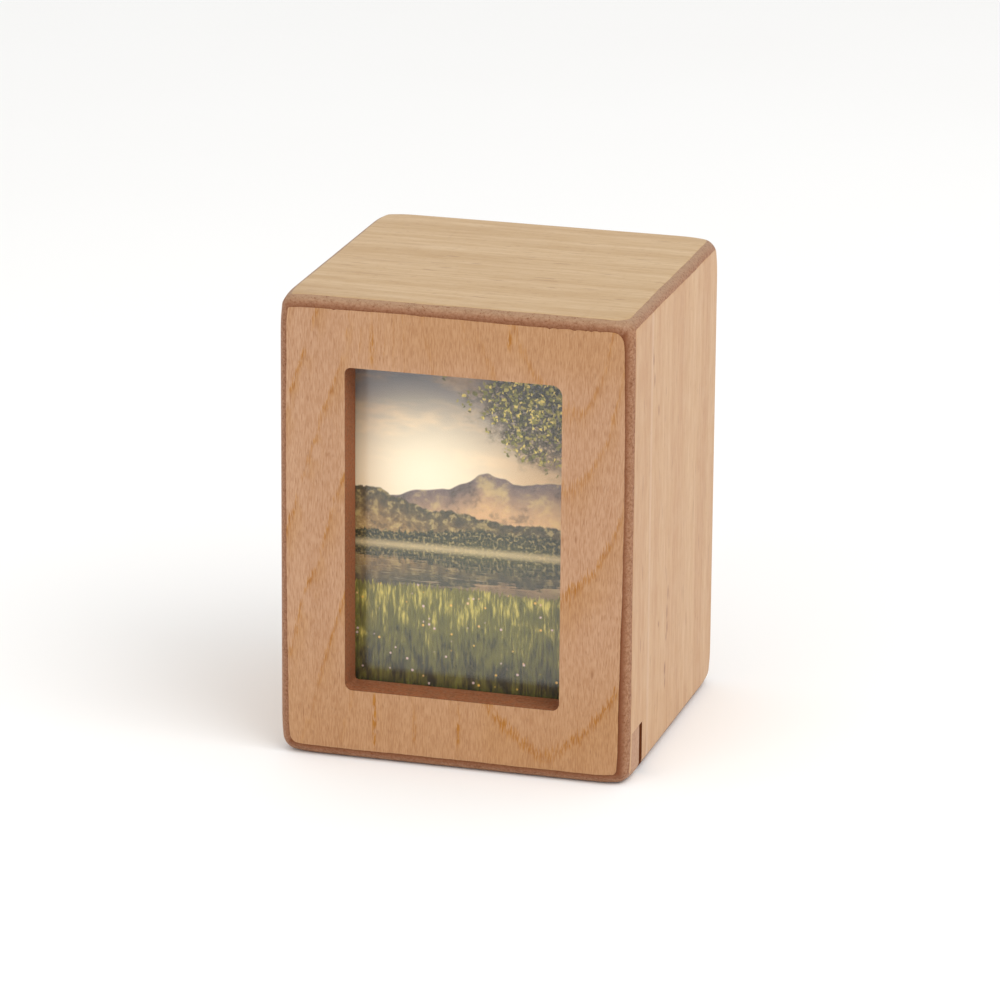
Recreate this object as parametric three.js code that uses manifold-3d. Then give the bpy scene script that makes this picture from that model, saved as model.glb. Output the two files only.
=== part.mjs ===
// Cremation urn box with a picture window.
//
// A small upright box of veneered fibreboard. Six boards are glued up to a hollow box, all outer
// edges are rounded over, and the front board has a window for a picture behind a clear pane.
// Millimetres, +Z up, front towards -Y. The origin is the middle of the underside.

import * as THREE from 'three';
import { RoundedBoxGeometry } from 'three/addons/geometries/RoundedBoxGeometry.js';
import { mergeVertices } from 'three/addons/utils/BufferGeometryUtils.js';
import Module from 'manifold-3d';

// Driving dimensions of the box
const WIDTH = 91;
const DEPTH = 87;
const HEIGHT = 120;
const BOARD = 11.5;
const EDGE_RADIUS = 3.2;
const EDGE_STEPS = 4;

// Picture window in the front board
const WINDOW_WIDTH = 55.8;
const WINDOW_HEIGHT = 84.2;
const WINDOW_FOOT = 18.4;
const WINDOW_X = -0.2;
const WINDOW_CORNER = 2.4;
const CORNER_STEPS = 6;

// Pane and picture in their bed behind the window, counted back from the front face
const BED_DEPTH = 8.9;
const BED_LAP = 4;
const BED_CLEARANCE = 0.3;
const PANE_THICKNESS = 1.5;
const PICTURE_DEPTH = 10.5;

// Slot for picture and backing, behind the front board
const SLOT = 2.5;
const GROOVE = 3;
const BACKING_THICKNESS = 2.2;
const BACKING_CLEARANCE = 0.4;

// Notch at the front foot of the right side
const NOTCH_HEIGHT = 13;
const NOTCH_START = 3.8;
const NOTCH_RECESS = 0.2;

// Finishes
const VENEER = { color: 0xc99c76, roughness: 0.55, metalness: 0 };
const PALE_VENEER = { color: 0xd4b18c, roughness: 0.55, metalness: 0 };
const BARE_BOARD = { color: 0x8f5f43, roughness: 0.8, metalness: 0 };
const PICTURE_PRINT = { color: 0x7d7a55, roughness: 0.4, metalness: 0 };
const CLEAR = { color: 0xf4f8f6, roughness: 0.05, metalness: 0, transparent: true, opacity: 0.25 };

// Planes that the boards share
const FRONT = -DEPTH / 2;
const FRONT_INNER = FRONT + BOARD;
const SLOT_BACK = FRONT_INNER + SLOT;
const BACK_INNER = DEPTH / 2 - BOARD;
const SIDE_INNER = WIDTH / 2 - BOARD;
const TOP_INNER = HEIGHT - BOARD;

// How far a cutter runs past the face that it opens
const OVERRUN = 5;

const wasm = await Module();
wasm.setup();

// Turns a closed three.js geometry into a solid that can be cut and joined.
function toSolid(geometry) {
  const bare = geometry.clone();
  bare.deleteAttribute('normal');
  bare.deleteAttribute('uv');
  const merged = mergeVertices(bare, 1e-4);
  return new wasm.Manifold(new wasm.Mesh({
    numProp: 3,
    vertProperties: new Float32Array(merged.attributes.position.array),
    triVerts: new Uint32Array(merged.index.array),
  }));
}

// Turns a solid back into a three.js geometry.
function toGeometry(solid) {
  const { vertProperties, triVerts } = solid.getMesh();
  const geometry = new THREE.BufferGeometry();
  geometry.setAttribute('position', new THREE.BufferAttribute(new Float32Array(vertProperties), 3));
  geometry.setIndex(new THREE.BufferAttribute(new Uint32Array(triVerts), 1));
  geometry.computeVertexNormals();
  return geometry;
}

// A block between two corners.
function block(low, high) {
  const size = high.map((value, axis) => value - low[axis]);
  const middle = high.map((value, axis) => (value + low[axis]) / 2);
  return new THREE.BoxGeometry(...size).translate(...middle);
}

// The window as a plate with round corners that runs right through the front board.
function windowCutter() {
  const right = WINDOW_WIDTH / 2 - WINDOW_CORNER;
  const low = WINDOW_FOOT + WINDOW_CORNER;
  const high = WINDOW_FOOT + WINDOW_HEIGHT - WINDOW_CORNER;
  const outline = new THREE.Shape();
  outline.absarc(right, low, WINDOW_CORNER, -Math.PI / 2, 0);
  outline.absarc(right, high, WINDOW_CORNER, 0, Math.PI / 2);
  outline.absarc(-right, high, WINDOW_CORNER, Math.PI / 2, Math.PI);
  outline.absarc(-right, low, WINDOW_CORNER, Math.PI, 1.5 * Math.PI);
  const depth = BOARD + 2 * OVERRUN;
  const options = { depth, bevelEnabled: false, curveSegments: CORNER_STEPS };
  const plate = new THREE.ExtrudeGeometry(outline, options);
  return plate.rotateX(Math.PI / 2).translate(WINDOW_X, FRONT_INNER + OVERRUN, 0);
}

// The whole box as one block with all its edges rounded over.
const outerBlock = toSolid(
  new RoundedBoxGeometry(WIDTH, DEPTH, HEIGHT, EDGE_STEPS, EDGE_RADIUS).translate(0, 0, HEIGHT / 2),
);

// The part of the rounded block that lies between two corners: one board of the box.
function board(low, high) {
  return outerBlock.intersect(toSolid(block(low, high)));
}

// Front board: window, bed for the pane and picture, and the bare patch at its right foot.
function frontPanel() {
  const below = -OVERRUN;
  const outside = WIDTH / 2 + OVERRUN;
  const panel = board([-outside, FRONT - OVERRUN, below], [outside, FRONT_INNER, HEIGHT + OVERRUN]);
  const bedHalf = WINDOW_WIDTH / 2 + BED_LAP;
  const bed = block(
    [WINDOW_X - bedHalf, FRONT + BED_DEPTH, WINDOW_FOOT - BED_LAP],
    [WINDOW_X + bedHalf, FRONT_INNER + OVERRUN, WINDOW_FOOT + WINDOW_HEIGHT + BED_LAP],
  );
  const barePatch = block(
    [WIDTH / 2 - NOTCH_RECESS, FRONT + NOTCH_START, below],
    [outside, FRONT_INNER + OVERRUN, NOTCH_HEIGHT],
  );
  return [windowCutter(), bed, barePatch].reduce(
    (rest, cutter) => rest.subtract(toSolid(cutter)), panel,
  );
}

// Side board, on the right for side = 1 and on the left for side = -1, with the groove for the
// backing board along its front edge. The right one has the slit through its foot.
function sidePanel(side) {
  const inner = side * SIDE_INNER;
  const outer = side * (WIDTH / 2 + OVERRUN);
  const span = (a, b) => [Math.min(a, b), Math.max(a, b)];
  const [low, high] = span(inner, outer);
  const panel = board([low, FRONT_INNER, -OVERRUN], [high, BACK_INNER, HEIGHT + OVERRUN]);
  const [grooveLow, grooveHigh] = span(inner - side * OVERRUN, inner + side * GROOVE);
  const groove = block(
    [grooveLow, FRONT_INNER - OVERRUN, -OVERRUN],
    [grooveHigh, SLOT_BACK, TOP_INNER],
  );
  const grooved = panel.subtract(toSolid(groove));
  if (side < 0) return grooved;
  const slit = block(
    [inner - OVERRUN, FRONT_INNER - OVERRUN, -OVERRUN],
    [outer, SLOT_BACK, NOTCH_HEIGHT],
  );
  return grooved.subtract(toSolid(slit));
}

// Adds one named piece to the box.
const urnBox = new THREE.Group();
function addPiece(name, geometry, finish) {
  const mesh = new THREE.Mesh(geometry, new THREE.MeshStandardMaterial(finish));
  mesh.name = name;
  urnBox.add(mesh);
}

// Boards of the box
const backPanel = board(
  [-WIDTH, BACK_INNER, -OVERRUN],
  [WIDTH, DEPTH / 2 + OVERRUN, HEIGHT + OVERRUN],
);
const topPanel = board(
  [-SIDE_INNER, FRONT_INNER, TOP_INNER],
  [SIDE_INNER, BACK_INNER, HEIGHT + OVERRUN],
);
addPiece('front_panel', toGeometry(frontPanel()), VENEER);
addPiece('back_panel', toGeometry(backPanel), PALE_VENEER);
addPiece('left_side_panel', toGeometry(sidePanel(-1)), PALE_VENEER);
addPiece('right_side_panel', toGeometry(sidePanel(1)), PALE_VENEER);
addPiece('top_panel', toGeometry(topPanel), PALE_VENEER);
addPiece(
  'bottom_panel',
  block([-SIDE_INNER, SLOT_BACK, 0], [SIDE_INNER, BACK_INNER, BOARD]),
  BARE_BOARD,
);

// Clear pane and picture, one behind the other on the foot of their bed
const sheetHalf = WINDOW_WIDTH / 2 + BED_LAP - BED_CLEARANCE;
const sheetTop = WINDOW_FOOT + WINDOW_HEIGHT + BED_LAP - BED_CLEARANCE;
function bedSheet(front, back) {
  return block(
    [WINDOW_X - sheetHalf, front, WINDOW_FOOT - BED_LAP],
    [WINDOW_X + sheetHalf, back, sheetTop],
  );
}
const paneFront = FRONT + BED_DEPTH;
addPiece('clear_pane', bedSheet(paneFront, paneFront + PANE_THICKNESS), CLEAR);
addPiece('picture_board', bedSheet(FRONT + PICTURE_DEPTH, FRONT_INNER), PICTURE_PRINT);

// Backing board, held in the grooves of the two sides
const backingHalf = SIDE_INNER + GROOVE - BACKING_CLEARANCE;
addPiece(
  'backing_board',
  block(
    [-backingHalf, FRONT_INNER, NOTCH_HEIGHT],
    [backingHalf, FRONT_INNER + BACKING_THICKNESS, TOP_INNER - BACKING_CLEARANCE],
  ),
  BARE_BOARD,
);

export default urnBox;
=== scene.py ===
"""Cremation urn box with a picture window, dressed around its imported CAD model.

Six fibreboard boards make the box. Thin veneer sheets cover its front, sides, back and top, and
the round-over of every edge shows the brown board. All shapes are worked out in millimetres and
put into the meshes in metres. The front looks towards -Y and the foot stands on z = 0.
"""

import logging
import math
from dataclasses import dataclass, field, replace
from enum import Enum

import bpy
import numpy as np
from mathutils import Matrix, Vector


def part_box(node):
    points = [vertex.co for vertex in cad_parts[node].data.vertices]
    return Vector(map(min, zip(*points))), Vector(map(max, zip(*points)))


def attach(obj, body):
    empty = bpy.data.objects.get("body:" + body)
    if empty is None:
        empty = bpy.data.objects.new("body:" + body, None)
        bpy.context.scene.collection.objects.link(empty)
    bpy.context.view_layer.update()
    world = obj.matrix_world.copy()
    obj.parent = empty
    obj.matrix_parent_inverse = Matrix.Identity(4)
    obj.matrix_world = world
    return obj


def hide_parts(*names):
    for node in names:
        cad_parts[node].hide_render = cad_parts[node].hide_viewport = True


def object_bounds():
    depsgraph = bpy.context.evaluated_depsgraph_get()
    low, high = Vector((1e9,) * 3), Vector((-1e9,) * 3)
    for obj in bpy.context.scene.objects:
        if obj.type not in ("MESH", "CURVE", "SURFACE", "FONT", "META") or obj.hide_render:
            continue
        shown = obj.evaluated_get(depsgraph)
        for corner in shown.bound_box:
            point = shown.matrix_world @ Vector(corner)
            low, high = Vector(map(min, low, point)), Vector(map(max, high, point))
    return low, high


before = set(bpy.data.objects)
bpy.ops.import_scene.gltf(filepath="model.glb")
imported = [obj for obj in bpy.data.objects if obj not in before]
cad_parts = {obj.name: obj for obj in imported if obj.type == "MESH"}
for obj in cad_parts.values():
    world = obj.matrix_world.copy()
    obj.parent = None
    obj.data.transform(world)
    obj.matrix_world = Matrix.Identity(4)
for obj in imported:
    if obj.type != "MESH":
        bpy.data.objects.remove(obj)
CAD_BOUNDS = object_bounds()

LOG = logging.getLogger("urn_box")
MM = 0.001
TINY = 1e-9
ON_FACE = 0.01
LEAST_GAP = 0.1
SHARP_EDGE = math.radians(32)
NO_SHIFT = (0.0, 0.0, 0.0)

# Short type names. A ramp is the low end, high end and top of a smooth step. A streak is a width,
# a length and a share. A fleck is a place across and along, half width, half length and share.
Socket = bpy.types.NodeSocket
Tree = bpy.types.NodeTree
Material = bpy.types.Material
Piece = bpy.types.Object
Colour = tuple[float, float, float, float]
Sides = tuple[float, float, float, float]
Fleck = tuple[float, float, float, float, float]
Pair = tuple[float, float]
Ramp = tuple[float, float, float]
Streak = tuple[float, float, float]
Corner = tuple[float, float, float]
Cut = tuple[Corner, Corner]


def linear(red: int, green: int, blue: int) -> Colour:
    """Turns a display colour of 0 to 255 per channel into the linear colour that shaders use.

    Args:
        red: Red of the display colour.
        green: Green of the display colour.
        blue: Blue of the display colour.

    Returns:
        Linear red, green, blue and an alpha of one.
    """
    shown = np.array([red, green, blue]) / 255.0
    light = np.where(shown <= 0.04045, shown / 12.92, ((shown + 0.055) / 1.055) ** 2.4)
    return (float(light[0]), float(light[1]), float(light[2]), 1.0)


def smooth(value: np.ndarray, low: float, high: float) -> np.ndarray:
    """Rises from 0 at low to 1 at high with level ends: t squared times (3 - 2t)."""
    t = np.clip((value - low) / (high - low), 0.0, 1.0)
    return t * t * (3.0 - 2.0 * t)


def grid_lines(
    axis: int, ends: Pair, cuts: tuple[Cut, ...], step: float, wanted: list[float]
) -> np.ndarray:
    """Grid lines along one axis of a piece: its ends, the faces of its cuts, and lines between.

    Args:
        axis: 0, 1 or 2 for x, y or z.
        ends: Low and high end of the piece.
        cuts: Low and high corner of each block that is cut away.
        step: Widest gap between two lines.
        wanted: Places for more lines, left out where an end or a face is nearer than the least gap.

    Returns:
        The places of the lines in rising order.
    """
    faces = [corner[axis] for cut in cuts for corner in cut]
    hard = [*ends, *(face for face in faces if ends[0] < face < ends[1])]
    marks = np.unique(np.round(hard, 6))
    soft = np.unique(np.round(wanted, 6))
    room = np.abs(soft[:, None] - marks).min(axis=1) > LEAST_GAP
    inside = (soft > marks[0]) & (soft < marks[-1])
    marks = np.sort(np.concatenate([marks, soft[room & inside]]))
    counts = np.maximum(1, np.ceil(np.diff(marks) / step - TINY)).astype(int)
    spans = zip(marks[:-1], marks[1:], counts)
    parts = [np.linspace(a, b, count, endpoint=False) for a, b, count in spans]
    return np.concatenate(parts + [marks[-1:]])


def round_share(out: np.ndarray) -> np.ndarray:
    """Share that turns squares into discs and cubes into balls: the longest part over the length.

    Args:
        out: Rows of ways out from a core.

    Returns:
        A share for each row, which is one where the row has no length.
    """
    longest = np.abs(out).max(axis=1, keepdims=True)
    length = np.linalg.norm(out, axis=1, keepdims=True)
    return np.where(length > TINY, longest / np.maximum(length, TINY), 1.0)


class Lattice:
    """Cells between lines along x, y and z, some of them filled. The piece is its skin."""

    def __init__(self, lines: list[np.ndarray], cuts: tuple[Cut, ...]) -> None:
        """Fills every cell but those in the cuts."""
        self.lines = lines
        self.filled = np.ones([len(line) - 1 for line in lines], bool)
        for low, high in cuts:
            self.clear(low, high)

    def clear(self, low: Corner, high: Corner) -> None:
        """Empties the cells whose middle lies between two corners."""
        inside = [
            ((line[1:] + line[:-1]) / 2 > a) & ((line[1:] + line[:-1]) / 2 < b)
            for line, a, b in zip(self.lines, low, high)
        ]
        self.filled &= ~(inside[0][:, None, None] & inside[1][None, :, None] & inside[2])

    def skin(self) -> tuple[np.ndarray, np.ndarray]:
        """Finds the faces between filled and empty cells.

        Along each axis the filled cells are compared with their neighbours. Where an empty cell
        follows a filled one the face looks up the axis, and the other way round it looks down it.

        Returns:
            Corner points as rows of x, y, z, and faces as rows of four point numbers.
        """
        size = [len(line) for line in self.lines]
        stride = np.array([size[1] * size[2], size[2], 1])
        quads = []
        for axis in range(3):
            pad = [(0, 0)] * 3
            pad[axis] = (1, 1)
            change = np.diff(np.pad(self.filled, pad).astype(np.int8), axis=axis)
            first, second = (axis + 1) % 3, (axis + 2) % 3
            for sign in (-1, 1):
                corner = np.argwhere(change == sign) @ stride
                a, b = stride[first], stride[second]
                ring = np.stack([corner, corner + a, corner + a + b, corner + b], axis=1)
                quads.append(ring if sign < 0 else ring[:, ::-1])
        used, numbers = np.unique(np.concatenate(quads), return_inverse=True)
        grid = np.stack(np.meshgrid(*self.lines, indexing="ij"), axis=-1).reshape(-1, 3)
        return grid[used], numbers.reshape(-1, 4)


@dataclass(frozen=True)
class BoxSizes:
    """Sizes of the box in millimetres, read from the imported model."""

    low: np.ndarray
    high: np.ndarray
    front_inner: float
    back_inner: float
    side_inner: float
    top_inner: float
    slot_back: float
    window_low: np.ndarray
    window_high: np.ndarray
    bed_low: np.ndarray
    bed_high: np.ndarray
    round_over: float = 3.2
    bed_lap: float = 4.0
    bed_clearance: float = 0.3
    notch_height: float = 13.0
    notch_start: float = 3.8
    notch_recess: float = 0.08
    groove: float = 3.0

    @classmethod
    def from_frame(cls) -> "BoxSizes":
        """Reads the boxes of the CAD nodes."""
        corners = {name: np.array(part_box(name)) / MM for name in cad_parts}
        whole = np.array(CAD_BOUNDS) / MM
        aside = cls.bed_clearance
        bed = corners["clear_pane"] + np.array([[-aside, 0.0, 0.0], [aside, 0.0, aside]])
        return cls(
            low=whole[0],
            high=whole[1],
            front_inner=float(corners["front_panel"][1, 1]),
            back_inner=float(corners["back_panel"][0, 1]),
            side_inner=float(corners["bottom_panel"][1, 0]),
            top_inner=float(corners["top_panel"][0, 2]),
            slot_back=float(corners["bottom_panel"][0, 1]),
            window_low=bed[0, [0, 2]] + cls.bed_lap,
            window_high=bed[1, [0, 2]] - cls.bed_lap,
            bed_low=bed[0],
            bed_high=bed[1],
        )


@dataclass(frozen=True)
class RoundedBlock:
    """The outside of the whole box, with every edge rounded over."""

    low: np.ndarray
    high: np.ndarray
    radius: float
    steps: int = 6
    sanded: float = 0.95
    sanded_reach: float = 5.0
    sanded_marks: tuple[float, ...] = (4.2, 5.4, 6.8, 8.4, 10.5)

    def edge_marks(self, axis: int) -> list[float]:
        """Lines that cut half of each round-over into equal angles, and lines beside it.

        Args:
            axis: 0, 1 or 2 for x, y or z.

        Returns:
            Places along the axis in the round-overs and where the sanding of the corners ends.
        """
        turn = np.tan(np.linspace(0.0, math.pi / 4, self.steps + 1))
        inside = np.concatenate([self.radius * (1.0 - turn), self.sanded_marks])
        return [*(self.low[axis] + inside), *(self.high[axis] - inside)]

    def bend(self, points: np.ndarray) -> np.ndarray:
        """Takes points of a square-edged block to the rounded one.

        Each point is split into its nearest point in the core, a block smaller by the radius, and
        the way out from there. The way out keeps its direction, and its length becomes its longest
        part, so squares turn into quarter discs and corner cubes into eighths of a ball.

        Args:
            points: Rows of x, y, z in the square-edged block.

        Returns:
            The same rows in the rounded block.
        """
        core_low, core_high = self.low + self.radius, self.high - self.radius
        nearest = np.clip(points, core_low, core_high)
        out = points - nearest
        return nearest + out * round_share(out)

    def sand(self, points: np.ndarray) -> np.ndarray:
        """Draws in the corners where three edges meet, as hand sanding leaves them.

        Each point moves in along the diagonal of its nearest corner. The move is a bell over the
        distances to the three planes of that corner.

        Args:
            points: Rows of x, y, z.

        Returns:
            The same rows, moved near the corners.
        """
        to_low, to_high = points - self.low, self.high - points
        gap = np.minimum(to_low, to_high)
        inward = np.where(to_low < to_high, 1.0, -1.0)
        bell = np.exp(-(gap**2).sum(axis=1, keepdims=True) / self.sanded_reach**2)
        return points + inward * bell * self.sanded / math.sqrt(3.0)


def make_piece(
    name: str,
    points: np.ndarray,
    quads: np.ndarray,
    material: Material,
    masks: dict[str, np.ndarray] | None = None,
) -> Piece:
    """Puts points and faces into a mesh object at the origin, shaded smooth between sharp edges.

    Args:
        name: Name of the piece.
        points: Rows of x, y, z in millimetres.
        quads: Rows of four point numbers.
        material: Finish of the piece.
        masks: Values per point that the material reads as attributes.

    Returns:
        The new object, riding on the body of the box.
    """
    mesh = bpy.data.meshes.new(name)
    mesh.vertices.add(len(points))
    mesh.vertices.foreach_set("co", (points * MM).astype(np.float32).ravel())
    mesh.loops.add(quads.size)
    mesh.loops.foreach_set("vertex_index", quads.astype(np.int32).ravel())
    mesh.polygons.add(len(quads))
    mesh.polygons.foreach_set("loop_start", np.arange(0, quads.size, 4, dtype=np.int32))
    mesh.update(calc_edges=True)
    mesh.validate()
    mesh.shade_smooth()
    mesh.set_sharp_from_angle(angle=SHARP_EDGE)
    for mask, values in (masks or {}).items():
        layer = mesh.attributes.new(mask, "FLOAT", "POINT")
        layer.data.foreach_set("value", values.astype(np.float32).ravel())
    mesh.materials.append(material)
    piece = bpy.data.objects.new(name, mesh)
    bpy.context.scene.collection.objects.link(piece)
    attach(piece, "root")
    LOG.info("%s: %d points, %d faces", name, len(points), len(quads))
    return piece


class Graph:
    """Short forms for building one node tree."""

    def __init__(self, tree: Tree) -> None:
        """Works on the given tree."""
        self.tree = tree

    def feed(self, socket: Socket, value: object) -> None:
        """Links a socket to another one, or sets its plain value."""
        if isinstance(value, Socket):
            self.tree.links.new(value, socket)
        else:
            socket.default_value = value

    def add(self, kind: str, inputs: dict | None = None, **settings: object) -> bpy.types.Node:
        """Adds a node.

        Args:
            kind: Type name of the node.
            inputs: Values or sockets for its inputs, by name or number.
            **settings: Values for the node's own fields.

        Returns:
            The new node.
        """
        node = self.tree.nodes.new(kind)
        for key, value in settings.items():
            setattr(node, key, value)
        for key, value in (inputs or {}).items():
            self.feed(node.inputs[key], value)
        return node

    def math(self, operation: str, *values: object, clamp: bool = False) -> Socket:
        """Adds a Math node and gives its result."""
        inputs = dict(enumerate(values))
        return self.add("ShaderNodeMath", inputs, operation=operation, use_clamp=clamp).outputs[0]

    def plus(self, first: object, second: object, clamp: bool = False) -> Socket:
        """First plus second."""
        return self.math("ADD", first, second, clamp=clamp)

    def less(self, first: object, second: object) -> Socket:
        """First less second."""
        return self.math("SUBTRACT", first, second)

    def times(self, first: object, second: object, clamp: bool = False) -> Socket:
        """First times second."""
        return self.math("MULTIPLY", first, second, clamp=clamp)

    def times_plus(
        self, first: object, second: object, third: object, clamp: bool = False
    ) -> Socket:
        """First times second, plus third."""
        return self.math("MULTIPLY_ADD", first, second, third, clamp=clamp)

    def ratio(self, first: object, second: object) -> Socket:
        """First divided by second."""
        return self.math("DIVIDE", first, second)

    def most(self, first: object, second: object) -> Socket:
        """The larger of two values."""
        return self.math("MAXIMUM", first, second)

    def absolute(self, value: object) -> Socket:
        """Value without its sign."""
        return self.math("ABSOLUTE", value)

    def parts(self, place: Socket) -> bpy.types.NodeOutputs:
        """The x, y and z of a place."""
        return self.add("ShaderNodeSeparateXYZ", {0: place}).outputs

    def point(self, x: object, y: object = 0.0, z: object = 0.0) -> Socket:
        """Place of the given x, y and z."""
        return self.add("ShaderNodeCombineXYZ", {0: x, 1: y, 2: z}).outputs[0]

    def length(self, place: Socket) -> Socket:
        """Distance of a place from zero."""
        node = self.add("ShaderNodeVectorMath", {0: place}, operation="LENGTH")
        return node.outputs["Value"]

    def rise(self, value: object, low: object, high: object, top: object = 1.0) -> Socket:
        """Smooth step of a value, from 0 at low to top at high."""
        inputs = {"Value": value, "From Min": low, "From Max": high, "To Max": top}
        node = self.add("ShaderNodeMapRange", inputs, interpolation_type="SMOOTHSTEP")
        return node.outputs[0]

    def mix(self, factor: object, first: object, second: object, blend: str = "MIX") -> Socket:
        """Mixes two colours."""
        inputs = {0: factor, 6: first, 7: second}
        return self.add("ShaderNodeMix", inputs, data_type="RGBA", blend_type=blend).outputs[2]

    def noise(self, place: Socket, scale: object, detail: float = 3.0, rough: float = 0.55) -> Socket:
        """Soft noise from 0 to 1."""
        inputs = {"Vector": place, "Scale": scale, "Detail": detail, "Roughness": rough}
        return self.add("ShaderNodeTexNoise", inputs).outputs[0]

    def stretch(self, place: Socket, scale: Corner, shift: Corner = NO_SHIFT) -> Socket:
        """Scales and then shifts a place."""
        inputs = {0: place, 1: scale, 2: shift}
        return self.add("ShaderNodeVectorMath", inputs, operation="MULTIPLY_ADD").outputs[0]

    def streaky(
        self,
        place: Socket,
        scale: Corner,
        shift: Corner = NO_SHIFT,
        rough: float = 0.55,
        detail: float = 2.0,
    ) -> Socket:
        """Soft noise from 0 to 1, with its own scale along each axis."""
        return self.noise(self.stretch(place, scale, shift), 1.0, detail, rough)

    def bump(self, height: Socket, strength: float, depth: float) -> Socket:
        """Normal of a surface with a relief of the given depth in millimetres."""
        inputs = {"Strength": strength, "Distance": depth * MM, "Height": height}
        return self.add("ShaderNodeBump", inputs).outputs[0]

    def millimetres(self) -> Socket:
        """Object coordinates in millimetres."""
        place = self.add("ShaderNodeTexCoord").outputs["Object"]
        return self.stretch(place, (1.0 / MM,) * 3)

    def fleck(self, grain: Socket, fleck: Fleck) -> Socket:
        """Soft long spot on the grain: the share in its middle, and nothing at its half sizes.

        Args:
            grain: Place across and along the grain.
            fleck: Place across and along, half width, half length and share.

        Returns:
            The mask of the spot.
        """
        x, y, half_width, half_length, share = fleck
        scale = (1.0 / half_width, 1.0 / half_length, 0.0)
        spot = self.stretch(grain, scale, (-x * scale[0], -y * scale[1], 0.0))
        return self.rise(self.length(spot), 1.0, 0.2, share)

    def fill(self, node: bpy.types.Node, **inputs: object) -> bpy.types.Node:
        """Feeds inputs of a node, with underscores in their names for blanks."""
        for key, value in inputs.items():
            self.feed(node.inputs[key.replace("_", " ")], value)
        return node

    def group(self, tree: Tree, **inputs: object) -> bpy.types.NodeOutputs:
        """Places a node group, fills its inputs and gives its outputs."""
        node = self.add("ShaderNodeGroup", node_tree=tree)
        return self.fill(node, **inputs).outputs


class GroupMaker:
    """Opens a shader node group with named sockets."""

    def __init__(self, name: str, inputs: dict[str, object], outputs: dict[str, str]) -> None:
        """Makes the group's sockets.

        Args:
            name: Name of the group.
            inputs: Default of each input; a number, a colour of four, or None for a place.
            outputs: Kind of each output, Float or Color.
        """
        self.tree = bpy.data.node_groups.new(name, "ShaderNodeTree")
        for key, value in inputs.items():
            kind = {type(None): "Vector", tuple: "Color"}.get(type(value), "Float")
            socket = self.tree.interface.new_socket(
                key, in_out="INPUT", socket_type=f"NodeSocket{kind}"
            )
            if value is not None:
                socket.default_value = value
        for key, kind in outputs.items():
            self.tree.interface.new_socket(key, in_out="OUTPUT", socket_type=f"NodeSocket{kind}")
        self.graph = Graph(self.tree)
        self.inputs = self.graph.add("NodeGroupInput").outputs
        self.out = self.graph.add("NodeGroupOutput")

    def give(self, **results: Socket) -> Tree:
        """Links the results to the group's outputs and gives the finished group."""
        self.graph.fill(self.out, **results)
        return self.tree


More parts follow.
